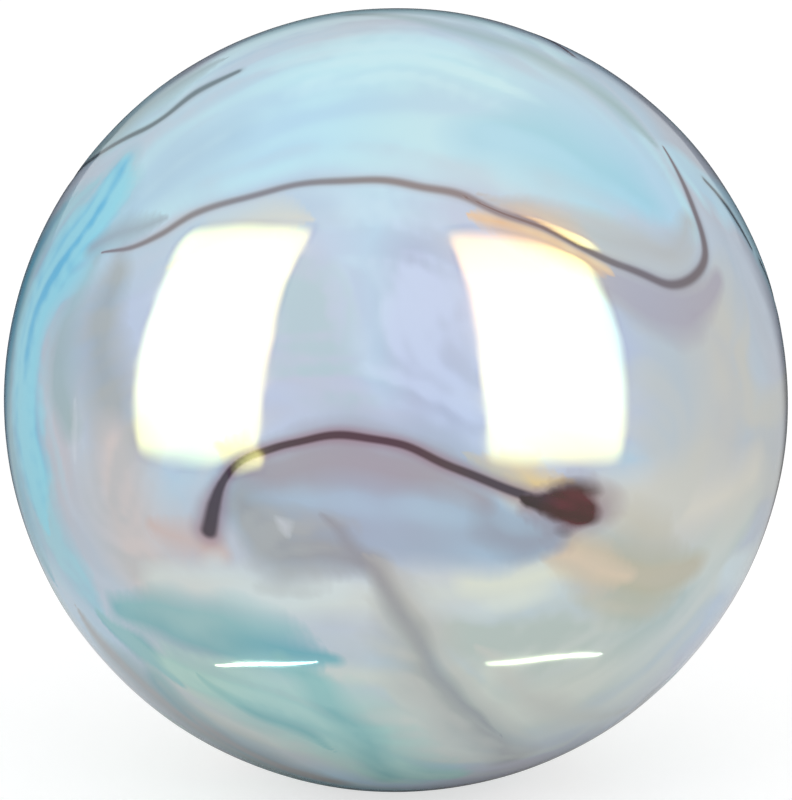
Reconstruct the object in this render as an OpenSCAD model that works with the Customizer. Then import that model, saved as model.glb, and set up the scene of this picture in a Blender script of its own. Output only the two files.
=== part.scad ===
// Glass playing marble.
// One solid ball of swirled opal glass: a single hot gob, rolled round, with its fire polish left on.
// It has no hole, flat, seam line or core, and rolls every way.
// The origin is the centre of the ball. +Z is up, and the face with the dark threads looks along -Y.

/* [Ball] */
// Diameter of the ball, the size that marbles are sold by
ball_d = 16; // [12:0.5:50]

/* [Hidden] */
// Name of every node, and the one to draw

// Longest facet along the drawn outline, and the facets round the equator that keep to it
facet = 0.25;
ball_facets = ceil(PI * ball_d / facet);

// Pale sky and lavender opal, the colour of most of the ball
opal_sky = [0.70, 0.78, 0.86];

// The whole marble, glass all the way through
module marble() {
    color(opal_sky)
        sphere(d = ball_d, $fn = ball_facets);
}

marble();
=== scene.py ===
# The looks of the glass marble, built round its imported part.
# Metres, +Z up. The origin is the centre of the ball, and the face with the dark threads looks along -Y.

import math

import bpy
import numpy as np
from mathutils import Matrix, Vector


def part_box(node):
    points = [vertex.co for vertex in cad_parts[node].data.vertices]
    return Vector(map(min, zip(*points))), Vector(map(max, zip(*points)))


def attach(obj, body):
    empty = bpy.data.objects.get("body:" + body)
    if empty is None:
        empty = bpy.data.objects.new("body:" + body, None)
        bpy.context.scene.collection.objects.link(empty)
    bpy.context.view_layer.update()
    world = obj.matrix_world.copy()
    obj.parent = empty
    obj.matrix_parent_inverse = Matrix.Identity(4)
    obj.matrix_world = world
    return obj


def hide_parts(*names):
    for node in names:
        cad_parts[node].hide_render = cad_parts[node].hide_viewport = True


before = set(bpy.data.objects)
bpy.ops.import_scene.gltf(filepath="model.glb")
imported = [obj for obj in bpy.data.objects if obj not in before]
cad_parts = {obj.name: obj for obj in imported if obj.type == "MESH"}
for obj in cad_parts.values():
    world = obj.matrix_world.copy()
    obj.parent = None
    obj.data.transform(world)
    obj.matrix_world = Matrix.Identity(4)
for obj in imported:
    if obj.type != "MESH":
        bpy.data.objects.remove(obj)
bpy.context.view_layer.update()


# The gob
# The marble starts as one gob of opal glass, cut hot and rolled round between grooved rollers.
# Its skin is fire-polished, and keeps a waviness of a few microns that bends the reflections.

MM = 0.001
cad_low, cad_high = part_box("marble")
ball_radius = (cad_high - cad_low).z / 2
ball_centre = (cad_low + cad_high) / 2
ball_cells = 127
long_wave, long_wave_height = 2.8 * MM, 0.0040 * MM
short_wave, short_wave_height = 0.9 * MM, 0.0007 * MM
wave_count = 14


def round_gob(cells):
    """A ball swept over a cube's six sides: unit directions, square faces, and the point at each corner."""
    steps = np.tan(np.linspace(-math.pi / 4, math.pi / 4, cells + 1))
    across, up = np.meshgrid(steps, steps, indexing="ij")
    out = np.ones_like(across)
    sides = []
    for axis in range(3):
        for sign in (1, -1):
            grid = np.empty(across.shape + (3,))
            grid[..., axis] = sign * out
            grid[..., (axis + 1) % 3] = sign * across
            grid[..., (axis + 2) % 3] = up
            sides.append(grid.reshape(-1, 3))
    points = np.concatenate(sides)
    points /= np.linalg.norm(points, axis=1, keepdims=True)
    corner = np.arange((cells + 1) ** 2).reshape(cells + 1, cells + 1)
    square = np.stack([corner[:-1, :-1], corner[1:, :-1], corner[1:, 1:], corner[:-1, 1:]], axis=-1)
    squares = np.concatenate([square.reshape(-1, 4) + side * corner.size for side in range(6)])
    keys = np.round(points * 1e6).astype(np.int64)
    _, kept, place = np.unique(keys, axis=0, return_index=True, return_inverse=True)
    return points[kept], place.reshape(-1)[squares], place.reshape(6, cells + 1, cells + 1)


def waves(seed, length):
    """Slow waves over the ball at about this length, with heights of about 1."""
    draw = np.random.default_rng(seed)
    height = np.zeros(len(skin))
    for _ in range(wave_count):
        way = draw.normal(size=3)
        way /= np.linalg.norm(way)
        turns = 2 * math.pi * ball_radius / (length * draw.uniform(0.7, 1.6))
        height += np.sin(skin @ way * turns + draw.uniform(0, 2 * math.pi))
    return height / math.sqrt(wave_count)


skin, squares, corners_of_gob = round_gob(ball_cells)
relief = waves(16, long_wave) * long_wave_height + waves(17, short_wave) * short_wave_height
marble_mesh = bpy.data.meshes.new("marble_glass")
marble = bpy.data.objects.new("marble_glass", marble_mesh)
bpy.context.scene.collection.objects.link(marble)
marble_mesh.from_pydata((skin * ball_radius).tolist(), [], squares.tolist())


# The lanes
# As the gob turns, its coloured glasses are drawn out into long lanes that lie in its skin.
# A lane is laid through points read off one face of the ball, in millimetres.

def seen_from(turn, tilt, *points):
    """Directions of points given as (across, up) on the face seen from that turn and tilt."""
    a, e = math.radians(turn), math.radians(tilt)
    out = np.array([math.sin(a) * math.cos(e), -math.cos(a) * math.cos(e), math.sin(e)])
    right = np.array([math.cos(a), math.sin(a), 0.0])
    up = np.cross(out, right)
    flat = np.array(points, float) * MM / ball_radius
    depth = np.sqrt(np.clip(1 - (flat**2).sum(1), 0, None))
    return flat[:, :1] * right + flat[:, 1:] * up + depth[:, None] * out


def front(*points):
    return seen_from(0, 15, *points)


def back(*points):
    return seen_from(180, 0, *points)


def right_side(*points):
    return seen_from(90, 0, *points)


def left_side(*points):
    return seen_from(-90, 0, *points)


def crown(*points):
    return seen_from(0, 90, *points)


def underside(*points):
    return seen_from(0, -90, *points)


def drawn_line(knots, half_widths, step):
    """A smooth line through the knots: its places on the unit ball, its run so far, and its half widths."""
    widths = np.interp(np.linspace(0, 1, len(knots)), np.linspace(0, 1, len(half_widths)), half_widths)
    before = np.concatenate([[2 * knots[0] - knots[1]], knots[:-1]])
    after = np.concatenate([knots[1:], [2 * knots[-1] - knots[-2]]])
    slope = (after - before) / 2
    places, halves = [], []
    for i in range(len(knots) - 1):
        span = np.linalg.norm(knots[i + 1] - knots[i]) * ball_radius
        t = np.linspace(0, 1, max(3, int(span / step)), endpoint=False)[:, None]
        places.append((2 * t**3 - 3 * t**2 + 1) * knots[i] + (t**3 - 2 * t**2 + t) * slope[i]
                      + (3 * t**2 - 2 * t**3) * knots[i + 1] + (t**3 - t**2) * slope[i + 1])
        halves.append(widths[i] + (widths[i + 1] - widths[i]) * t[:, 0])
    places = np.concatenate(places + [knots[-1:]])
    places /= np.linalg.norm(places, axis=1, keepdims=True)
    run = np.concatenate([[0], np.cumsum(np.linalg.norm(np.diff(places, axis=0), axis=1))]) * ball_radius
    return places, run, np.concatenate(halves + [widths[-1:]]) * MM


def measured(points, knots, half_widths, step):
    """How far points lie across, along and past a lane, with its half width and heading beside them."""
    places, run, halves = drawn_line(knots, half_widths, step)
    ahead = np.gradient(places, axis=0)
    ahead -= (ahead * places).sum(1, keepdims=True) * places
    ahead /= np.linalg.norm(ahead, axis=1, keepdims=True)
    aside = np.cross(places, ahead)
    nearest = (points.astype(np.float32) @ places.T.astype(np.float32)).argmax(1)
    facing = (points * places[nearest]).sum(1)
    across = np.arctan2((points * aside[nearest]).sum(1), facing) * ball_radius
    along = run[nearest] + np.arctan2((points * ahead[nearest]).sum(1), facing) * ball_radius
    past = np.maximum(0, np.maximum(-along, along - run[-1]))
    heading = ahead[nearest] - (ahead[nearest] * points).sum(1, keepdims=True) * points
    heading /= np.linalg.norm(heading, axis=1, keepdims=True)
    return across, along, past, halves[nearest], heading


def swell(value, low, high):
    """0 at low and 1 at high, with a smooth rise between them."""
    t = np.clip((value - low) / (high - low), 0, 1)
    return t * t * (3 - 2 * t)


wide_bend, wide_bend_share = 2.6 * MM, 0.016
small_bend, small_bend_share = 0.9 * MM, 0.004
bent_skin = skin + np.stack([waves(seed, wide_bend) for seed in (21, 22, 23)], axis=1) * wide_bend_share
bent_skin += np.stack([waves(seed, small_bend) for seed in (24, 25, 26)], axis=1) * small_bend_share
bent_skin /= np.linalg.norm(bent_skin, axis=1, keepdims=True)
grain = np.full((len(skin), 3, 3), 1e-9)


def draw_beside(heading, away, steer):
    """Turns the grain of the glass round a lane to run beside it, the more so the nearer it lies."""
    weight = steer / (away / MM + 0.35) ** 4
    grain[:] += weight[:, None, None] * heading[:, :, None] * heading[:, None, :]


def draw_over(heading, reach):
    """Gives the glass inside a lane the lane's own grain, whatever it was laid on."""
    share = (1 - swell(reach, 1.3, 2.0))[:, None, None]
    strength = np.trace(grain, axis1=1, axis2=2)[:, None, None]
    grain[:] = (1 - share) * grain + share * strength * heading[:, :, None] * heading[:, None, :]


def point_at(directions):
    """The number of the mesh point nearest to each direction."""
    size = np.abs(directions)
    axis = size.argmax(1)
    row = np.arange(len(directions))
    depth = size[row, axis]
    sign = np.sign(directions[row, axis])
    across = sign * directions[row, (axis + 1) % 3]
    turns = np.arctan(np.stack([across, directions[row, (axis + 2) % 3]]) / depth)
    i, j = np.clip(np.rint((turns / (math.pi / 2) + 0.5) * ball_cells), 0, ball_cells).astype(int)
    return corners_of_gob[axis * 2 + (sign < 0), i, j]


def softened(pattern):
    """A pattern on the skin, evened out a little between neighbours."""
    faces = pattern[squares].mean(1)
    return np.bincount(squares.ravel(), np.repeat(faces, 4)) / np.bincount(squares.ravel())


def drawn_out(pattern, length, step):
    """Smears a pattern along the grain of the glass, and evens it out to a level from 0 to 1."""
    run = np.linalg.eigh(grain)[1][:, :, 2]
    total = pattern.copy()
    for way in (1, -1):
        place, heading = skin, run * way
        for _ in range(int(length / 2 / step)):
            place = place + heading * step / ball_radius
            place = place / np.linalg.norm(place, axis=1, keepdims=True)
            here = point_at(place)
            ahead = run[here]
            heading = ahead * np.where((ahead * heading).sum(1) < 0, -1, 1)[:, None]
            total += pattern[here]
    total = softened(total)
    return swell((total - total.mean()) / total.std(), -1.3, 1.3)


def keep_on_skin(name, *parts):
    """Keeps four values at each point of the mesh for the glass to read."""
    values = np.stack(parts, axis=1).astype(np.float32).ravel()
    marble_mesh.attributes.new(name, "FLOAT_COLOR", "POINT").data.foreach_set("color", values)


# The glass
# Each lane is laid over the glass already there. A pour is broad, with soft edges that break up
# into streaks, and a thread is a thin line of darker glass that has bled a little on both sides.

glass = bpy.data.materials.new("swirled_opal_glass")
glass.use_nodes = True
glass_tree = glass.node_tree
glass_tree.nodes.clear()


def shade(red, green, blue):
    """A colour given as a display shows it, from 0 to 255, in the linear values that shaders take."""
    parts = np.array([red, green, blue]) / 255
    linear = np.where(parts <= 0.04045, parts / 12.92, ((parts + 0.055) / 1.055) ** 2.4)
    return (*linear.tolist(), 1.0)


def add(tree, kind, inputs=None, **settings):
    """A node of this kind, with its settings, and with its inputs set or linked."""
    node = tree.nodes.new(kind)
    for name, value in settings.items():
        setattr(node, name, value)
    for name, value in (inputs or {}).items():
        if isinstance(value, bpy.types.NodeSocket):
            tree.links.new(value, node.inputs[name])
        else:
            node.inputs[name].default_value = value
    return node


def sum_of(tree, operation, a, b=0.0, c=0.0):
    return add(tree, "ShaderNodeMath", {0: a, 1: b, 2: c}, operation=operation).outputs[0]


def blend(tree, share, under, over):
    return add(tree, "ShaderNodeMix", {0: share, 6: under, 7: over}, data_type="RGBA").outputs[2]


def rise(tree, value, low, high):
    ends = {"Value": value, "From Min": low, "From Max": high}
    return add(tree, "ShaderNodeMapRange", ends, interpolation_type="SMOOTHSTEP").outputs[0]


def new_group(name, inputs):
    """A shader node group with these named inputs, and a Color and a Mask going out."""
    tree = bpy.data.node_groups.new(name, "ShaderNodeTree")
    for label, kind, value in inputs:
        socket = tree.interface.new_socket(label, in_out="INPUT", socket_type="NodeSocket" + kind)
        socket.default_value = value
    tree.interface.new_socket("Color", in_out="OUTPUT", socket_type="NodeSocketColor")
    tree.interface.new_socket("Mask", in_out="OUTPUT", socket_type="NodeSocketFloat")
    return tree, add(tree, "NodeGroupInput").outputs, add(tree, "NodeGroupOutput").inputs


def pour_group():
    tree, given, out = new_group("poured glass", [
        ("Under", "Color", (0.5, 0.5, 0.5, 1)),
        ("Level", "Float", 0),
        ("Streak", "Float", 0.5),
        ("Body", "Color", (1, 1, 1, 1)),
        ("Vein", "Color", (1, 1, 1, 1)),
        ("Feather", "Float", 0.3),
        ("Cover", "Float", 1),
    ])
    broken = add(tree, "ShaderNodeMath", {0: given["Streak"], 1: given["Feather"], 2: given["Level"]},
                 operation="MULTIPLY_ADD", use_clamp=True).outputs[0]
    mask = sum_of(tree, "MULTIPLY", broken, given["Cover"])
    own = blend(tree, given["Streak"], given["Body"], given["Vein"])
    tree.links.new(blend(tree, mask, given["Under"], own), out["Color"])
    tree.links.new(mask, out["Mask"])
    return tree


def thread_group():
    tree, given, out = new_group("drawn thread", [
        ("Under", "Color", (0.5, 0.5, 0.5, 1)),
        ("Lane", "Vector", (0, 0, 0)),
        ("Near", "Float", 1),
        ("Wander", "Float", 0.5),
        ("Core", "Color", (0.1, 0.1, 0.1, 1)),
        ("Halo", "Color", (0.4, 0.4, 0.4, 1)),
        ("Core Cover", "Float", 1),
        ("Halo Cover", "Float", 0.6),
        ("Halo Reach", "Float", 3),
        ("Softness", "Float", 0.5),
    ])
    lane = add(tree, "ShaderNodeSeparateXYZ", {0: given["Lane"]}).outputs
    swing = sum_of(tree, "MULTIPLY_ADD", sum_of(tree, "SUBTRACT", given["Wander"], 0.5), 1.6, lane[0])
    square = sum_of(tree, "MULTIPLY_ADD", swing, swing, sum_of(tree, "MULTIPLY", lane[2], lane[2]))
    reach = sum_of(tree, "SQRT", square)
    halo = rise(tree, sum_of(tree, "DIVIDE", reach, given["Halo Reach"]), 1.0, 0.0)
    halo = sum_of(tree, "MULTIPLY", sum_of(tree, "MULTIPLY", halo, given["Near"]), given["Halo Cover"])
    inner = sum_of(tree, "SUBTRACT", 1.0, given["Softness"])
    core = rise(tree, reach, sum_of(tree, "ADD", 1.0, given["Softness"]), inner)
    core = sum_of(tree, "MULTIPLY", sum_of(tree, "MULTIPLY", core, given["Near"]), given["Core Cover"])
    bled = blend(tree, halo, given["Under"], given["Halo"])
    tree.links.new(blend(tree, core, bled, given["Core"]), out["Color"])
    tree.links.new(core, out["Mask"])
    return tree


poured_glass = pour_group()
drawn_thread = thread_group()
place_on_ball = add(glass_tree, "ShaderNodeTexCoord").outputs["Object"]
sky_drift = swell(waves(41, 4.5 * MM), -0.6, 0.9)
rose_drift = swell(waves(42, 4.5 * MM), 0.1, 1.7)
thread_drift = 0.5 + 0.18 * waves(43, 1.5 * MM)
film_drift = 0.5 + 0.4 * waves(44, 4 * MM)
keep_on_skin("slow_shifts", sky_drift, rose_drift, thread_drift, film_drift)
slow_shifts = add(glass_tree, "ShaderNodeAttribute", attribute_name="slow_shifts").outputs
sky_share, rose_share, wander = add(glass_tree, "ShaderNodeSeparateXYZ", {0: slow_shifts["Vector"]}).outputs
streaks_read = add(glass_tree, "ShaderNodeAttribute", attribute_name="streaks").outputs["Vector"]
fine, broad, faint = add(glass_tree, "ShaderNodeSeparateXYZ", {0: streaks_read}).outputs
laid = {"colour": shade(186, 194, 210)}
laid["colour"] = blend(glass_tree, sky_share, laid["colour"], shade(180, 205, 226))
laid["colour"] = blend(glass_tree, rose_share, laid["colour"], shade(198, 192, 203))
fine_share = sum_of(glass_tree, "MULTIPLY", fine, 0.5)
laid["colour"] = blend(glass_tree, fine_share, laid["colour"], shade(195, 204, 220))


def lay(group, given):
    """Lays one more glass on what was laid before, and gives the mask that it covers."""
    node = add(glass_tree, "ShaderNodeGroup", node_tree=group)
    for name, value in {"Under": laid["colour"], **given}.items():
        if isinstance(value, bpy.types.NodeSocket):
            glass_tree.links.new(value, node.inputs[name])
        else:
            node.inputs[name].default_value = value
    laid["colour"] = node.outputs["Color"]
    return node.outputs["Mask"]


pour_step, thread_step = 0.15 * MM, 0.06 * MM
levels, taps = [], []


def tap(level):
    """Keeps a pour's level with three others on the skin, and gives the socket that reads it."""
    if len(levels) % 4 == 0:
        name = "levels_%d" % (len(levels) // 4 + 1)
        four = add(glass_tree, "ShaderNodeAttribute", attribute_name=name).outputs
        taps.extend(add(glass_tree, "ShaderNodeSeparateXYZ", {0: four["Vector"]}).outputs)
        taps.append(four["Alpha"])
    levels.append(level)
    return taps[len(levels) - 1]


def pour(lanes, body, vein=None, soft=1.0, cover=1.0, feather=0.3, streaks=None, steer=0.0, own_run=False):
    """Lanes of one coloured glass. Each is half there at its half width, and fades over soft of that."""
    level = np.full(len(skin), -1.0)
    for knots, half_widths in lanes:
        across, _, past, half, heading = measured(bent_skin, knots, half_widths, pour_step)
        away = np.hypot(across, past)
        if steer:
            draw_beside(heading, away, steer)
        if own_run:
            draw_over(heading, away / half)
        level = np.maximum(level, 0.5 - (away / half - 1) / soft)
    feather = feather / soft * 2
    return lay(poured_glass, {
        "Level": tap(np.clip(level, -1, 2) - feather / 2),
        "Streak": streaks or broad,
        "Body": body,
        "Vein": vein or body,
        "Feather": feather,
        "Cover": cover,
    })


def thread(name, lanes, core, halo, core_cover=1.0, halo_cover=0.6, halo_reach=3.0, soft=0.5):
    """Thin threads of one dark glass, with the halo that they bled on both sides."""
    global relief
    reach = np.full(len(skin), 1e9)
    parts = np.zeros((3, len(skin)))
    for knots, half_widths in lanes:
        across, along, past, half, heading = measured(skin, knots, half_widths, thread_step)
        away = np.hypot(across, past)
        draw_beside(heading, away, 3.0)
        relief = relief - crease_depth * np.exp(-(away / crease_half) ** 2)
        own = away / half
        parts = np.where(own < reach, np.stack([across / half, along / MM, past / half]), parts)
        reach = np.minimum(reach, own)
    limit = halo_reach + 1
    near = 1 - swell(reach, halo_reach, limit)
    keep_on_skin(name, np.clip(parts[0], -limit, limit), parts[1], np.clip(parts[2], 0, limit), near)
    lane = add(glass_tree, "ShaderNodeAttribute", attribute_name=name).outputs
    return lay(drawn_thread, {
        "Lane": lane["Vector"],
        "Near": lane["Alpha"],
        "Wander": wander,
        "Core": core,
        "Halo": halo,
        "Core Cover": core_cover,
        "Halo Cover": halo_cover,
        "Halo Reach": halo_reach,
        "Softness": soft,
    })


# The lavender glass
# Most of the gob is a pearly lavender opal. It shows between the folds on every side, with wisps in it.

pour([(front((-4.6, 1.0), (-2.4, 1.6), (0.0, 1.6), (2.4, 1.3), (4.6, 1.0)), [2.2, 2.5, 2.5, 2.3, 1.6]),
      (back((-6.2, 0.4), (-3.0, 0.2), (0.4, 0.6), (3.4, 1.4), (6.2, 1.4)), [1.8, 2.2, 2.2, 2.0, 1.6]),
      (left_side((1.0, 0.6), (-1.6, 0.0), (-4.2, 0.3), (-6.4, -0.4)), [1.2, 1.9, 1.9, 1.4])],
     shade(180, 191, 222), shade(186, 200, 228), steer=0.3)
pour([(front((-0.5, 4.0), (-0.3, 2.9), (-0.1, 1.8), (-0.2, 0.6)), [0.8, 0.9, 0.8, 0.5]),
      (back((-5.0, 2.0), (-3.6, 0.9), (-2.8, -0.4)), [0.5, 0.9, 0.5])],
     shade(176, 206, 233), shade(190, 217, 238), soft=1.6, streaks=fine, own_run=True)
pour([(front((-1.8, 2.6), (-1.6, 1.6), (-1.4, 0.4), (-0.8, -0.2)), [0.5, 0.7, 0.7, 0.4])],
     shade(184, 196, 220), shade(172, 198, 214), soft=1.4, streaks=fine)
pour([(front((0.2, 3.0), (0.5, 1.7), (0.8, 0.5), (1.4, -0.7)), [0.5, 0.7, 0.8, 0.6]),
      (back((1.6, 1.6), (2.8, 0.9), (4.2, 1.2)), [0.4, 0.7, 0.4])],
     shade(166, 180, 213), shade(190, 206, 238), soft=1.5, feather=0.3, streaks=fine, own_run=True)

# The grey glass
# On the right and round the foot the opal is a pale grey, with drawn-out streaks of a cooler blue grey.
# Grey also lines the azure on the left, with a little sage and rose in it.

pour([(front((5.0, 2.4), (6.0, 1.2), (6.4, -0.4), (6.1, -2.0), (5.2, -3.4)), [1.2, 1.7, 1.8, 1.7, 1.3]),
      (right_side((-3.4, -0.4), (-1.2, -0.9), (1.4, -1.8), (4.4, -2.6)), [1.3, 1.6, 1.6, 1.4])],
     shade(191, 195, 202), shade(199, 200, 200), steer=1.0)
pour([(front((4.8, 2.0), (5.4, 1.3), (5.6, 0.2), (5.4, -0.9)), [0.5, 0.8, 0.8, 0.5])],
     shade(186, 197, 210), shade(192, 199, 207), soft=1.8, feather=0.15, streaks=fine)
pour([(front((-2.8, -6.4), (0.0, -6.6), (2.4, -6.2), (4.4, -5.2), (5.8, -3.9), (6.8, -2.6)),
       [1.8, 2.2, 2.2, 2.0, 1.5, 0.8]),
      (back((-6.4, -4.0), (-3.2, -5.6), (0.2, -6.2), (3.6, -5.6), (6.4, -3.8)), [1.4, 2.0, 2.2, 2.0, 1.4]),
      (underside((-5.0, -1.6), (-1.8, -2.6), (1.6, -2.6), (4.8, -1.4)), [1.2, 1.8, 1.8, 1.2])],
     shade(194, 203, 202), shade(206, 211, 208), steer=1.0)
pour([(front((1.2, -4.7), (2.6, -4.9), (4.2, -4.6), (5.6, -4.0)), [0.4, 0.7, 0.7, 0.4])],
     shade(196, 204, 204), shade(182, 194, 194), soft=1.5, streaks=fine)
pour([(front((-5.5, 2.6), (-5.9, 1.6), (-5.8, 0.4), (-5.5, -0.6)), [0.3, 0.6, 0.7, 0.6])],
     shade(160, 172, 188), shade(170, 176, 184), soft=1.6, feather=0.1, streaks=fine)
pour([(front((-5.9, 3.0), (-6.5, 1.8), (-6.75, 0.6), (-6.6, -0.4)), [0.1, 0.35, 0.45, 0.3])],
     shade(156, 178, 184), soft=1.8, cover=0.8)
pour([(front((-5.7, -0.8), (-5.5, -1.9), (-5.1, -2.9), (-4.7, -3.7)), [0.5, 0.9, 0.9, 0.5])],
     shade(208, 198, 201), shade(192, 190, 196), soft=1.4, feather=0.1, streaks=fine)
pour([(front((-4.9, -2.5), (-4.2, -2.9), (-3.6, -3.1)), [0.1, 0.4, 0.2])],
     shade(204, 178, 176), soft=1.8, cover=0.8)

# A mauve shade lies under the hook of the long thread, and in the folds at the back and on top.
pour([(front((4.2, 2.25), (5.1, 1.8), (5.9, 1.85), (6.5, 2.4)), [0.3, 0.5, 0.45, 0.2]),
      (back((-6.0, -0.6), (-4.4, -1.0), (-3.2, -0.4)), [0.4, 0.6, 0.3]),
      (crown((-3.6, 3.4), (-1.4, 3.9), (1.2, 3.8), (3.4, 2.8)), [0.3, 0.6, 0.6, 0.3])],
     shade(160, 150, 172), shade(172, 166, 184), soft=1.6, cover=0.9)

# The sky glass
# A broad fold of sky blue is laid over the top. It is greener and greyer where it thins out at its edge.

pour([(front((-5.6, 3.5), (-4.2, 4.8), (-2.0, 5.9), (0.6, 6.2), (2.8, 5.7), (4.5, 4.7), (5.5, 3.9)),
       [0.7, 1.3, 1.8, 2.0, 1.9, 1.4, 0.7]),
      (crown((-5.6, 2.2), (-3.2, 3.6), (-0.4, 4.2), (2.6, 3.8), (5.4, 2.4)), [1.4, 2.2, 2.6, 2.2, 1.4]),
      (back((-6.6, 3.4), (-4.2, 5.0), (-1.2, 5.6), (1.8, 5.4), (4.6, 4.6), (6.6, 3.2)),
       [1.2, 1.5, 1.7, 1.7, 1.5, 1.1]),
      (right_side((-1.6, 5.2), (0.0, 3.6), (1.8, 2.8), (4.4, 2.8), (6.6, 3.4)), [0.5, 1.0, 1.3, 1.3, 1.0]),
      (left_side((0.4, 6.0), (-2.0, 5.4), (-4.2, 4.8), (-6.0, 3.8)), [1.1, 1.4, 1.3, 1.0])],
     shade(180, 212, 234), shade(188, 224, 238), soft=0.6, feather=0.2, steer=0.7)
pour([(front((-1.6, 6.6), (0.2, 6.9), (2.0, 6.4)), [0.6, 0.9, 0.6]),
      (crown((-4.4, -0.8), (-2.0, 0.6), (0.8, 0.9), (3.4, -0.2)), [0.3, 0.7, 0.7, 0.3])],
     shade(186, 226, 240), shade(196, 230, 242), soft=1.6, streaks=fine, own_run=True)
pour([(front((-5.2, 3.9), (-4.3, 4.7), (-3.3, 5.3)), [0.5, 0.9, 0.6])],
     shade(168, 199, 226), shade(180, 211, 232), soft=1.4)
pour([(front((1.8, 5.3), (3.0, 5.2), (4.1, 4.7), (5.0, 4.0)), [0.6, 1.0, 1.0, 0.5]),
      (back((1.4, 4.9), (3.0, 4.6), (4.4, 3.8)), [0.5, 0.8, 0.5])],
     shade(160, 206, 226), shade(172, 214, 236), soft=1.3)
pour([(front((1.6, 4.15), (2.8, 3.75), (3.9, 3.3), (4.9, 2.95), (5.5, 2.95), (5.75, 3.7)),
       [0.02, 0.2, 0.36, 0.42, 0.38, 0.2])],
     shade(184, 184, 188), soft=1.7, cover=0.9)
# Painted rim shade: this darker grey-green band follows the top rim as the camera sees it.
pour([(front((-1.0, 7.8), (0.7, 7.65), (2.1, 7.25), (3.4, 6.65), (4.6, 5.75), (5.3, 5.0)),
       [0.1, 0.25, 0.3, 0.3, 0.25, 0.1]),
      (front((-6.4, 4.75), (-5.6, 5.5), (-4.6, 6.25), (-3.5, 6.85)), [0.05, 0.6, 0.6, 0.03])],
     shade(160, 186, 194), soft=1.8, feather=0.1)

# The azure glass
# A streak of clear azure is drawn down the left side and up round the back, with a paler wash beside it.

azure_run = front((-5.6, 4.6), (-6.0, 3.8), (-6.6, 3.0), (-7.1, 2.2), (-7.4, 1.3), (-7.5, 0.4),
                  (-7.5, -0.6), (-7.3, -1.6), (-7.0, -2.7), (-6.4, -3.7), (-5.8, -4.5))
far_azure_run = back((6.8, -2.8), (5.2, -1.6), (3.4, -1.1), (1.2, -1.5), (-1.0, -2.1), (-3.0, -2.0),
                     (-4.6, -0.9))
side_azure_run = right_side((6.6, -1.8), (5.2, -0.2), (3.4, 0.7), (1.4, 0.8), (-0.2, 0.2))
pour([(front((-6.4, 4.3), (-7.0, 3.3), (-7.5, 2.3), (-7.7, 1.2), (-7.8, 0.0), (-7.7, -1.4), (-7.4, -2.6),
             (-6.9, -3.7)),
       [0.05, 0.8, 1.0, 1.1, 1.1, 1.1, 0.8, 0.05])],
     shade(122, 176, 194), shade(114, 180, 208), soft=1.5, feather=0.1, steer=0.7)
pour([(front((-6.0, 4.4), (-6.5, 3.9), (-7.0, 3.1), (-7.4, 2.3)), [0.2, 0.7, 0.8, 0.4]),
      (azure_run, [0.4, 0.9, 1.1, 1.0, 0.95, 0.9, 0.9, 0.9, 0.9, 0.6, 0.1]),
      (far_azure_run, [0.7, 0.9, 0.9, 0.8, 0.8, 0.8, 0.5]),
      (side_azure_run, [0.8, 0.8, 0.7, 0.5, 0.3])],
     shade(160, 190, 212), shade(160, 206, 222), soft=1.2, feather=0.15, streaks=fine, steer=2.0)
pour([(azure_run[:9], [0.25, 0.65, 0.85, 0.8, 0.75, 0.75, 0.75, 0.6, 0.1]),
      (far_azure_run, [0.4, 0.5, 0.5, 0.35, 0.4, 0.35, 0.15]),
      (side_azure_run, [0.5, 0.5, 0.35, 0.25, 0.1])],
     shade(92, 182, 224), shade(146, 214, 234), soft=0.9, feather=0.2, streaks=fine)

# The cream and tan glasses
# Under the lip and on round the back, threads of cream were rolled in, with amber and tan beside them.
# Higher up, thin lanes of peach, straw and yellow lie under the panel highlights: painted highlight tint
# that warms their tops and feet.

pour([(front((4.0, -2.0), (5.2, -2.2), (6.3, -2.1), (7.2, -1.5)), [0.4, 0.7, 0.8, 0.5])],
     shade(218, 214, 207), shade(208, 207, 203), soft=1.7, feather=0.15)
pour([(front((-4.6, -3.6), (-3.0, -3.8), (-1.2, -3.95), (0.6, -3.9), (2.2, -3.7), (3.4, -3.4)),
       [0.4, 0.5, 0.5, 0.5, 0.6, 0.5]),
      (back((6.2, -3.4), (3.8, -3.0), (1.2, -3.3), (-1.4, -4.1), (-3.8, -4.0), (-5.8, -2.8)),
       [0.4, 0.6, 0.6, 0.6, 0.6, 0.3]),
      (right_side((-3.4, -2.6), (-1.0, -3.0), (1.4, -3.9), (4.0, -4.4)), [0.4, 0.7, 0.6, 0.4]),
      (left_side((0.6, -1.9), (-1.6, -1.9), (-3.8, -2.2), (-5.8, -3.0)), [0.3, 0.5, 0.5, 0.3])],
     shade(206, 213, 214), shade(208, 220, 226), soft=1.2, steer=0.5)
pour([(front((1.4, -3.6), (2.4, -3.6), (3.4, -3.5)), [0.3, 0.5, 0.3])],
     shade(226, 229, 214), soft=1.6, cover=0.8)
pour([(front((3.3, -2.9), (4.2, -3.25), (5.1, -3.5), (5.9, -3.4)), [0.3, 0.8, 0.8, 0.3]),
      (back((-3.6, -2.9), (-2.2, -3.2), (-0.8, -3.0)), [0.4, 0.7, 0.4])],
     shade(184, 180, 162), shade(194, 186, 170), soft=1.5, feather=0.15, own_run=True)
pour([(front((2.9, -2.8), (3.5, -3.1), (4.1, -3.35), (4.7, -3.4)), [0.1, 0.4, 0.4, 0.15])],
     shade(220, 200, 180), shade(212, 196, 180), soft=1.8, feather=0.1, streaks=fine)
# Painted highlight tint: these warm lanes lie where the two panel highlights fall, so the highlights show
# cream, peach and yellow there.
pour([(front((-4.5, 2.7), (-3.7, 3.2), (-2.7, 3.5), (-1.7, 3.4)), [0.05, 0.4, 0.45, 0.05])],
     shade(222, 212, 192), soft=2.0, feather=0.1, cover=0.6)
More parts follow.
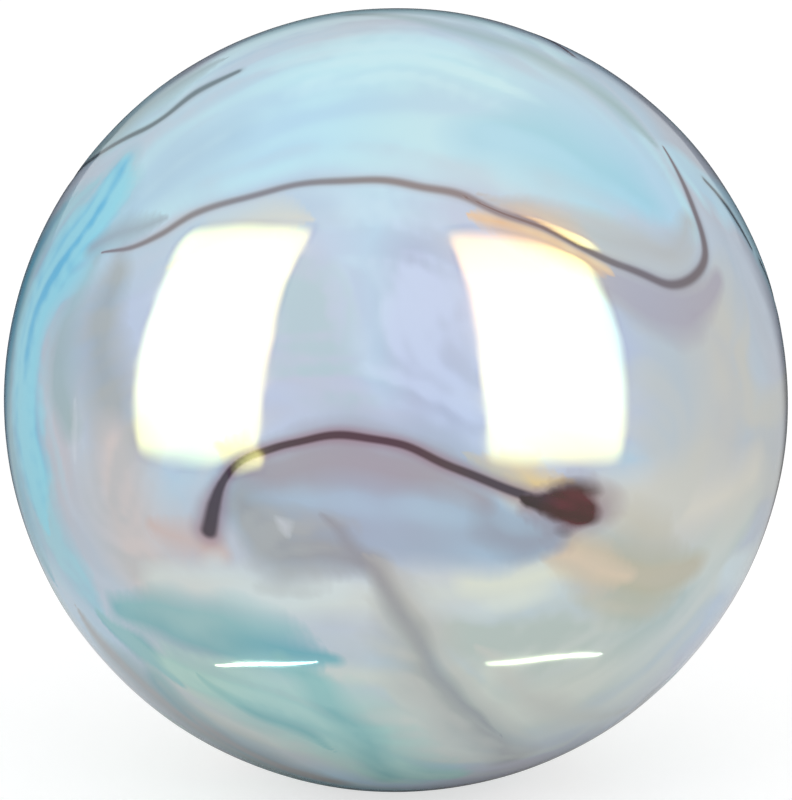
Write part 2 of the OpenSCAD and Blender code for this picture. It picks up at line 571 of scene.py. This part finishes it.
pour([(front((1.4, 3.8), (2.2, 3.6), (3.1, 3.2), (3.9, 2.7), (4.4, 2.3)), [0.02, 0.25, 0.4, 0.3, 0.02]),
      (front((-3.6, -1.0), (-3.1, -1.2), (-2.6, -1.3)), [0.05, 0.35, 0.05])],
     shade(224, 186, 152), shade(230, 206, 176), soft=1.8, feather=0.1, streaks=fine)
pour([(front((1.4, -1.1), (2.0, -1.35), (2.7, -1.6), (3.4, -1.6)), [0.02, 0.3, 0.35, 0.05])],
     shade(232, 220, 150), shade(224, 200, 152), soft=1.9, feather=0.1, streaks=fine)

# The periwinkle lens
# Under the lip lies a lens of periwinkle glass. A ribbon of taupe is dragged down out of it to the foot.

pour([(front((-2.9, -1.9), (-1.2, -1.9), (0.4, -2.1), (1.9, -2.5), (3.1, -2.6)),
       [0.8, 1.2, 1.3, 1.0, 0.5])],
     shade(166, 190, 214), shade(160, 176, 200), soft=0.8, feather=0.2, steer=0.5)
pour([(front((-2.8, -1.4), (-1.7, -1.15), (-0.5, -1.2), (0.8, -1.6), (1.8, -2.0)),
       [0.3, 0.45, 0.4, 0.35, 0.2])],
     shade(160, 154, 168), soft=1.8, cover=0.85)
pour([(front((-2.9, -2.2), (-2.2, -2.8), (-1.4, -3.0), (-0.6, -3.2)), [0.5, 0.7, 0.6, 0.3])],
     shade(150, 156, 168), shade(166, 170, 178), soft=1.4, streaks=fine)
pour([(front((1.9, -2.4), (2.6, -2.7), (3.2, -2.6)), [0.3, 0.5, 0.3])],
     shade(150, 156, 176), soft=1.8, cover=0.8)
pour([(front((-0.6, -3.0), (0.0, -3.9), (0.3, -4.8), (0.7, -5.7), (1.4, -6.5), (2.4, -7.2)),
       [0.03, 0.35, 0.6, 0.6, 0.5, 0.3]),
      (back((4.4, 2.6), (3.2, 1.2), (2.4, -0.2), (1.2, -0.8)), [0.1, 0.35, 0.35, 0.05])],
     shade(170, 172, 176), shade(190, 191, 191), soft=1.5, feather=0.2, streaks=fine, own_run=True)
pour([(front((-1.5, -2.2), (-0.9, -2.8), (-0.3, -3.5), (0.1, -4.3), (0.6, -5.1), (1.2, -6.0), (2.0, -6.8)),
       [0.03, 0.1, 0.13, 0.15, 0.15, 0.12, 0.02]),
      (back((4.2, 2.2), (3.1, 0.9), (2.2, -0.3)), [0.03, 0.12, 0.03])],
     shade(142, 146, 158), soft=2.2, feather=0.1, cover=0.7)
pour([(front((1.6, -4.9), (2.4, -5.7), (3.4, -6.4), (4.6, -6.3)), [0.03, 0.25, 0.3, 0.1])],
     shade(196, 199, 198), soft=2.0, feather=0.2, streaks=fine)

# Flecks of pale opal lie in the azure and at the back, and the pale fleck by the lens is a painted glint of
# light.
pour([(front((-2.35, -2.2), (-2.2, -2.35), (-2.1, -2.55)), [0.04, 0.1, 0.04]),
      (front((-6.45, 0.1), (-6.52, -0.6), (-6.42, -1.3)), [0.03, 0.08, 0.04]),
      (back((-0.4, 1.2), (0.4, 1.5), (1.4, 1.4)), [0.05, 0.12, 0.06])],
     shade(210, 216, 228), soft=2.2, feather=0.1, cover=0.5)

# The teal glass
# Below left the azure breaks up into fields and ribbons of teal and pale green, and winds on underneath.

pour([(front((-5.6, -4.1), (-4.6, -4.5), (-3.4, -4.8), (-2.2, -5.0), (-1.2, -5.2)),
       [0.3, 0.8, 0.85, 0.7, 0.15]),
      (front((-6.0, -4.3), (-5.2, -5.0), (-4.3, -5.7)), [0.1, 0.5, 0.1]),
      (left_side((1.4, -3.8), (-0.8, -3.4), (-3.0, -3.8), (-5.0, -4.6)), [0.6, 0.8, 0.7, 0.4]),
      (back((-1.6, -5.2), (0.6, -4.9), (2.8, -4.8), (5.0, -4.6)), [0.3, 0.5, 0.6, 0.4]),
      (right_side((-2.2, -5.2), (0.2, -5.6), (2.6, -5.6), (4.6, -5.0)), [0.2, 0.5, 0.6, 0.3]),
      (underside((-4.8, 4.2), (-2.6, 3.2), (0.2, 2.0), (1.8, 0.2), (1.2, -1.6), (-0.6, -2.0), (-1.8, -0.8)),
       [0.4, 0.6, 0.7, 0.7, 0.5, 0.35, 0.15])],
     shade(108, 168, 184), shade(146, 190, 198), soft=1.2, feather=0.3, steer=1.0)
pour([(front((-4.4, -5.4), (-3.0, -5.9), (-1.8, -6.3), (-0.8, -7.0), (0.2, -7.5), (1.3, -7.6)),
       [0.5, 0.9, 1.0, 1.0, 0.8, 0.3]),
      (left_side((2.0, -6.4), (-0.6, -6.2), (-3.2, -6.3)), [0.7, 0.9, 0.6]),
      (underside((-3.8, 1.2), (-2.0, 0.6), (-0.4, 0.4), (0.4, -0.4)), [0.6, 0.7, 0.5, 0.2])],
     shade(158, 200, 200), shade(178, 212, 208), soft=1.2, feather=0.25, streaks=fine, steer=1.0)
pour([(front((-2.2, -5.1), (-1.4, -5.8), (-0.8, -6.7), (-0.2, -7.6)), [0.15, 0.28, 0.3, 0.3]),
      (front((-3.9, -5.5), (-3.0, -6.1), (-2.0, -6.5), (-1.2, -7.1)), [0.05, 0.2, 0.22, 0.03])],
     shade(136, 184, 188), shade(154, 198, 198), soft=1.5, feather=0.2, streaks=fine)
pour([(front((-6.5, -4.2), (-5.6, -5.3), (-4.4, -6.35), (-3.0, -7.15), (-1.4, -7.7)),
       [0.03, 0.6, 0.8, 0.8, 0.3]),
      (underside((5.2, 2.6), (3.6, 0.8), (3.0, -1.4), (1.4, -3.4)), [0.3, 0.5, 0.5, 0.2])],
     shade(150, 166, 174), shade(168, 166, 170), soft=1.6, feather=0.1, steer=0.7)

# The dark threads
# Fine threads of brown, slate and maroon glass mark where one fold lies over the next.
# They sink a little into the skin, and the long one starts from a soft shade in the glass.

crease_depth, crease_half = 0.008 * MM, 0.16 * MM
pour([(front((-6.1, 3.0), (-5.4, 3.3), (-4.6, 3.6)), [0.15, 0.3, 0.05])],
     shade(150, 160, 178), soft=1.9, feather=0.1, cover=0.8)
thread("pale_thread", [
    (front((-5.9, 2.95), (-5.3, 3.05), (-4.7, 3.3), (-4.0, 3.72), (-2.9, 4.05), (-2.0, 4.27), (-1.1, 4.37),
           (-0.2, 4.35), (0.5, 4.25), (1.3, 4.06), (2.1, 3.72), (2.9, 3.42), (3.6, 3.08), (4.4, 2.7)),
     [0.02, 0.06, 0.08, 0.07, 0.07, 0.08, 0.08, 0.09, 0.08, 0.08, 0.05]),
], shade(128, 118, 132), shade(168, 164, 180), soft=0.8)
thread("brown_threads", [
    (front((1.3, 4.06), (2.1, 3.72), (2.9, 3.42), (3.6, 3.08), (4.4, 2.7), (5.0, 2.45),
           (5.5, 2.33), (5.95, 2.45), (6.18, 2.85), (6.14, 3.4), (5.9, 4.08), (5.65, 4.65), (5.4, 5.1)),
     [0.01, 0.03, 0.06, 0.09, 0.1, 0.1, 0.08, 0.03]),
    (back((-7.2, 1.9), (-5.6, 2.7), (-3.6, 3.1), (-1.4, 2.7), (0.6, 2.1), (2.6, 2.1), (4.2, 2.8),
          (4.8, 3.8), (4.0, 4.6), (2.9, 4.4)),
     [0.06, 0.09, 0.09, 0.1, 0.08, 0.09, 0.11, 0.1, 0.09, 0.06]),
    (crown((-5.6, 1.0), (-3.8, 2.2), (-1.6, 2.7), (0.8, 2.5), (2.8, 1.6), (3.6, 0.4)),
     [0.05, 0.08, 0.09, 0.09, 0.08, 0.05]),
], shade(112, 94, 106), shade(158, 149, 166), soft=0.7)
thread("slate_threads", [
    (front((-6.8, 4.5), (-6.05, 4.98), (-5.3, 5.36), (-4.7, 5.7), (-4.0, 6.2), (-3.2, 6.62)),
     [0.08, 0.09, 0.09, 0.1, 0.13, 0.09]),
    (left_side((-1.25, 4.32), (-2.5, 3.55), (-3.9, 3.0), (-5.3, 2.8), (-6.6, 2.2)),
     [0.02, 0.09, 0.09, 0.09, 0.05]),
    (front((6.25, 4.45), (6.65, 4.0), (6.95, 3.55), (7.2, 3.1)), [0.07, 0.1, 0.1, 0.06]),
    (right_side((-0.4, 3.0), (0.4, 1.9), (1.6, 1.4), (3.2, 1.6), (4.8, 1.2)),
     [0.06, 0.08, 0.09, 0.08, 0.05]),
], shade(90, 104, 116), shade(150, 162, 174), soft=0.7)
thread("maroon_threads", [
    (front((-3.7, -2.6), (-3.6, -2.1), (-3.4, -1.6), (-3.1, -1.25), (-2.6, -1.0), (-2.0, -0.8),
           (-0.9, -0.7), (0.1, -0.9), (1.1, -1.3), (2.1, -1.7), (2.9, -2.0)),
     [0.15, 0.14, 0.08, 0.07, 0.07, 0.07, 0.08, 0.08, 0.08, 0.09, 0.1]),
    (back((5.6, -0.4), (4.0, 0.1), (2.2, -0.2), (0.6, -0.9), (-1.2, -1.2)), [0.05, 0.08, 0.09, 0.08, 0.06]),
    (left_side((-0.4, -2.5), (-2.0, -2.6), (-3.8, -3.1), (-5.2, -3.9), (-5.8, -4.8)),
     [0.05, 0.08, 0.1, 0.09, 0.05]),
], shade(66, 46, 72), shade(146, 112, 134), halo_cover=0.8, halo_reach=3.5)

# The knot
# The lip thread ends in a round knot of the same dark glass, where the last of it was sheared off.

pour([(front((2.7, -2.0), (3.2, -2.1), (3.6, -2.2), (3.9, -2.2)), [0.15, 0.4, 0.55, 0.4]),
      (back((-1.4, -1.2), (-1.7, -1.2), (-2.0, -1.1)), [0.3, 0.4, 0.3])],
     shade(146, 124, 140), soft=1.8, cover=0.8)
pour([(front((2.6, -1.83), (2.95, -1.95), (3.3, -2.03)), [0.06, 0.14, 0.3])],
     shade(46, 6, 40), shade(60, 22, 56), soft=0.8, feather=0.1)
pour([(front((3.46, -2.03), (3.56, -2.1), (3.62, -2.18)), [0.38, 0.42, 0.4]),
      (back((-1.5, -1.2), (-1.8, -1.15)), [0.22, 0.2])],
     shade(100, 12, 54), shade(62, 0, 36), soft=0.8, feather=0.2, streaks=fine)

# The run of the glass
# Once every lane is laid, its level and the flow of the streaks between the lanes are kept on the skin.

while len(levels) % 4:
    levels.append(np.full(len(skin), -1.0))
for i in range(0, len(levels), 4):
    keep_on_skin("levels_%d" % (i // 4 + 1), *levels[i:i + 4])
fine_length, fine_step = 3.6 * MM, 0.12 * MM
broad_length, broad_step = 6 * MM, 0.3 * MM
faint_length = 1.4 * MM
specks = np.random.default_rng(8)
keep_on_skin("streaks",
             drawn_out(softened(specks.normal(size=len(skin))), fine_length, fine_step),
             drawn_out(waves(33, 1.0 * MM), broad_length, broad_step),
             drawn_out(softened(softened(specks.normal(size=len(skin)))), faint_length, fine_step),
             np.ones(len(skin)))


# The skin
# The finished glass has a bright gloss with a thin film of lustre that turns gold, pink and green.

# The film is measured in nanometres.
thinnest_film, thickest_film = 238.0, 288.0
smoothest, roughest = 0.05, 0.10
peel_size, peel_depth = 0.7 * MM, 0.004 * MM
film = add(glass_tree, "ShaderNodeMapRange", {
    "Value": slow_shifts["Alpha"], "To Min": thinnest_film, "To Max": thickest_film}).outputs[0]
orange_peel = add(glass_tree, "ShaderNodeTexNoise", {
    "Vector": place_on_ball, "Scale": 1 / peel_size, "Detail": 1.0}).outputs[0]
bump = add(glass_tree, "ShaderNodeBump", {
    "Height": orange_peel, "Strength": 0.25, "Distance": peel_depth}).outputs[0]
roughness = add(glass_tree, "ShaderNodeMapRange", {
    "Value": faint, "To Min": smoothest, "To Max": roughest}).outputs[0]
gloss = add(glass_tree, "ShaderNodeBsdfPrincipled", {
    "Base Color": laid["colour"],
    "Roughness": roughness,
    "IOR": 1.52,
    "Thin Film Thickness": film,
    "Thin Film IOR": 1.7,
    "Normal": bump,
})
add(glass_tree, "ShaderNodeOutputMaterial", {"Surface": gloss.outputs[0]})

marble_mesh.vertices.foreach_set("co", (skin * (ball_radius + relief)[:, None]).astype(np.float32).ravel())
marble_mesh.polygons.foreach_set("use_smooth", np.ones(len(squares), bool))
marble_mesh.update()
marble_mesh.materials.append(glass)
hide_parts("marble")
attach(marble, "root")


# The camera
# It stands well back with a long lens, a little above the ball, as the photograph does.

camera_tilt = math.radians(15)
camera_lens = 500
picture_height = 800
ball_radius_seen = 392
camera_data = bpy.data.cameras.new("camera")
camera_data.lens = camera_lens
camera_data.sensor_width = 36
camera = bpy.data.objects.new("camera", camera_data)
bpy.context.scene.collection.objects.link(camera)
half_angle = math.atan(ball_radius_seen / picture_height * camera_data.sensor_width / camera_lens)
camera_distance = ball_radius / math.sin(half_angle)
towards_camera = Vector((0, -math.cos(camera_tilt), math.sin(camera_tilt)))
camera.location = ball_centre + towards_camera * camera_distance
camera.rotation_mode = "QUATERNION"
camera.rotation_quaternion = (-towards_camera).to_track_quat("-Z", "Y")
camera_data.clip_start = 0.01
camera_data.clip_end = 10
bpy.context.scene.camera = camera


# The studio
# A pale floor and a white surround light the ball evenly. Two soft panels and two thin lamps stand
# by it for its gloss to catch, and black felt beyond them draws the dark line round its rim.

def into_scene(name, mesh, material):
    mesh.materials.append(material)
    thing = bpy.data.objects.new(name, mesh)
    bpy.context.scene.collection.objects.link(thing)
    return thing


def sheet(name, corners, material):
    mesh = bpy.data.meshes.new(name)
    mesh.from_pydata(corners, [], [tuple(range(len(corners)))])
    return into_scene(name, mesh, material)


def only_in_reflections(thing):
    thing.visible_camera = False
    thing.visible_diffuse = False
    thing.visible_transmission = False
    thing.visible_shadow = False


def surface_material(name, shader_of):
    material = bpy.data.materials.new(name)
    material.use_nodes = True
    tree = material.node_tree
    tree.nodes.clear()
    add(tree, "ShaderNodeOutputMaterial", {"Surface": shader_of(tree)})
    return material


def felt_shade(tree, way, thin_felt=1.0, thick_felt=1.0, thick_from=0.85, thick_to=0.98):
    """How dark the black felt round the ball is that way: thin all round, and thick straight behind."""
    way = add(tree, "ShaderNodeVectorMath", {0: way}, operation="NORMALIZE").outputs["Vector"]
    facing = {0: way, 1: straight_behind}
    behind = add(tree, "ShaderNodeVectorMath", facing, operation="DOT_PRODUCT").outputs["Value"]
    behind = sum_of(tree, "MULTIPLY", rise(tree, behind, thick_from, thick_to), thick_felt)
    share = sum_of(tree, "MAXIMUM", behind, sum_of(tree, "MULTIPLY", thin_felt, thin_felt_share))
    height = add(tree, "ShaderNodeSeparateXYZ", {0: way}).outputs["Z"]
    return sum_of(tree, "MULTIPLY", share, rise(tree, height, felt_top, felt_full))


def sees_background(tree):
    path = add(tree, "ShaderNodeLightPath").outputs
    clear = sum_of(tree, "MAXIMUM", path["Is Camera Ray"], path["Is Transmission Ray"])
    return sum_of(tree, "MAXIMUM", clear, path["Is Glossy Ray"]), path["Is Glossy Ray"]


def paper(tree):
    """Matt white paper. The ball's gloss sees it darker in the ball's own shade and before the felt."""
    seen, glossy = sees_background(tree)
    where = add(tree, "ShaderNodeNewGeometry").outputs["Position"]
    place = add(tree, "ShaderNodeSeparateXYZ", {0: where}).outputs
    square = sum_of(tree, "MULTIPLY", place[1], place[1])
    square = sum_of(tree, "MULTIPLY_ADD", place[0], place[0], square)
    out = sum_of(tree, "SQRT", square)
    thin_felt = rise(tree, out, *thin_felt_edge)
    thick_felt = rise(tree, out, *thick_felt_edge)
    dark = felt_shade(tree, where, thin_felt, thick_felt, *thick_felt_on_floor)
    light = sum_of(tree, "SUBTRACT", 1.0, sum_of(tree, "MULTIPLY", dark, glossy))
    steepness = sum_of(tree, "ADD", sum_of(tree, "DIVIDE", square, ball_radius**2), 1.0)
    own_shade = sum_of(tree, "POWER", steepness, -1.5)
    clear = sum_of(tree, "SUBTRACT", 1.0, sum_of(tree, "MULTIPLY", own_shade, glossy))
    light = sum_of(tree, "MULTIPLY", light, clear)
    plain = blend(tree, seen, paper_lit, paper_seen)
    matt = add(tree, "ShaderNodeBsdfDiffuse", {"Color": blend(tree, light, (0, 0, 0, 1), plain)}).outputs[0]
    strength = sum_of(tree, "MULTIPLY", sum_of(tree, "MULTIPLY", seen, paper_glow), light)
    glow = add(tree, "ShaderNodeEmission", {"Strength": strength}).outputs[0]
    return add(tree, "ShaderNodeAddShader", {0: matt, 1: glow}).outputs[0]


thin_felt_share = 0.5
thin_felt_edge, thick_felt_edge = (4 * MM, 20 * MM), (2 * MM, 12 * MM)
thick_felt_on_floor = (0.7, 0.93)
felt_top, felt_full = 0.8, 0.05
paper_lit, paper_seen, paper_glow = (0.85, 0.85, 0.85, 1), (0.42, 0.42, 0.42, 1), 0.66
straight_behind = (0, math.cos(camera_tilt), -math.sin(camera_tilt))
floor_level = cad_low.z
floor_half = 5.0
floor_corners = [(x * floor_half, y * floor_half, floor_level)
                 for x, y in ((-1, -1), (1, -1), (1, 1), (-1, 1))]
sheet("floor", floor_corners, surface_material("pale_floor", paper))

panel_cells = 12


def soft_panel(name, foot_in, foot_out, head_out, head_in):
    """A diffuser between four corners, in millimetres, that is dimmer and warmer along its edges."""
    steps = [i / panel_cells for i in range(panel_cells + 1)]
    foot_in, foot_out, head_out, head_in = (Vector(c) * MM for c in (foot_in, foot_out, head_out, head_in))
    points = [foot_in.lerp(foot_out, u).lerp(head_in.lerp(head_out, u), v) for v in steps for u in steps]
    row = panel_cells + 1
    mesh = bpy.data.meshes.new(name)
    mesh.from_pydata(points, [], [(j * row + i, j * row + i + 1, (j + 1) * row + i + 1, (j + 1) * row + i)
                                  for j in range(panel_cells) for i in range(panel_cells)])
    spread = mesh.attributes.new("spread", "FLOAT_VECTOR", "POINT")
    spread.data.foreach_set("vector", [part for v in steps for u in steps for part in (u, v, 0.0)])
    return into_scene(name, mesh, panel_light)


def panel_glow(tree):
    spread = add(tree, "ShaderNodeAttribute", attribute_name="spread").outputs["Vector"]
    place = add(tree, "ShaderNodeSeparateXYZ", {0: spread}).outputs
    inside, warmth = 1.0, 1.0
    for side, fade, blush in panel_edges:
        off_middle = sum_of(tree, "ABSOLUTE", sum_of(tree, "SUBTRACT", place[side], 0.5))
        edge = sum_of(tree, "SUBTRACT", 0.5, off_middle)
        inside = sum_of(tree, "MULTIPLY", inside, rise(tree, edge, 0.0, fade))
        warmth = sum_of(tree, "MULTIPLY", warmth, rise(tree, edge, 0.0, blush))
    colour = blend(tree, warmth, panel_edge_colour, panel_colour)
    strength = sum_of(tree, "MULTIPLY", inside, panel_strength)
    return add(tree, "ShaderNodeEmission", {"Color": colour, "Strength": strength}).outputs[0]


# For each way over a panel: which way, how far in it is dim, and how far in it is warm.
panel_edges = ((0, 0.09, 0.10), (1, 0.11, 0.36))
panel_colour, panel_edge_colour, panel_strength = (1.0, 0.99, 0.96, 1), (1.0, 0.78, 0.36, 1), 9.0
panel_light = surface_material("panel_light", panel_glow)
only_in_reflections(soft_panel(
    "left_panel", (-32.3, -46.5, -7.8), (-46.3, -12.6, -7.8), (-36.2, -0.9, 32.2), (-22.5, -26.4, 61)))
only_in_reflections(soft_panel(
    "right_panel", (27.2, -62.6, -5.8), (43, -20.2, -7.8), (34.6, -8.6, 31.5), (13.8, -30, 62.5)))

strip_light = surface_material("strip_light", lambda tree: add(tree, "ShaderNodeEmission", {
    "Color": (0.95, 1.0, 1.0, 1), "Strength": 25.0}).outputs[0])
strip_halves = [part * MM for part in (0.03, 0.08, 0.09, 0.08, 0.03)]
left_strip = [(-6.2, -5.5), (-5.5, -6.4), (-4.7, -7.2), (-3.8, -7.8), (-2.9, -8.4)]
right_strip = [(3.4, -8.2), (4.4, -7.7), (5.4, -7.0), (6.4, -6.1), (7.2, -4.9)]
for name, run in (("left_strip", left_strip), ("right_strip", right_strip)):
    middle = [Vector((x * MM, y * MM, floor_level + 0.1 * MM)) for x, y in run]
    outer = [p + Vector((p.x, p.y, 0)).normalized() * half for p, half in zip(middle, strip_halves)]
    inner = [p - Vector((p.x, p.y, 0)).normalized() * half for p, half in zip(middle, strip_halves)]
    only_in_reflections(sheet(name, inner + outer[::-1], strip_light))

world = bpy.data.worlds.new("surround")
bpy.context.scene.world = world
world.use_nodes = True
room = world.node_tree
room.nodes.clear()
fill = 0.88
seen, glossy = sees_background(room)
dark = felt_shade(room, add(room, "ShaderNodeTexCoord").outputs["Generated"])
clear = sum_of(room, "SUBTRACT", 1.0, sum_of(room, "MULTIPLY", dark, glossy))
level = sum_of(room, "MULTIPLY", sum_of(room, "MULTIPLY_ADD", seen, 1 - fill, fill), clear)
surround = add(room, "ShaderNodeBackground", {"Color": (1, 1, 1, 1), "Strength": level})
add(room, "ShaderNodeOutputWorld", {"Surface": surround.outputs[0]})


def soft_lamp(name, place, size, level):
    """A square soft lamp that gives this share of the plain light level at the ball."""
    data = bpy.data.lights.new(name, "AREA")
    place = Vector(place)
    data.shape = "SQUARE"
    data.size = size
    data.energy = level * math.pi**2 * place.length_squared
    lamp = bpy.data.objects.new(name, data)
    lamp.location = place
    lamp.rotation_mode = "QUATERNION"
    lamp.rotation_quaternion = (-place).to_track_quat("-Z", "Y")
    lamp.visible_glossy = False
    lamp.visible_camera = False
    bpy.context.scene.collection.objects.link(lamp)


soft_lamp("left_key", (-0.20, -0.24, 0.10), 0.16, 0.12)
soft_lamp("right_key", (0.17, -0.27, 0.10), 0.16, 0.12)

bpy.context.scene.view_settings.view_transform = "Standard"
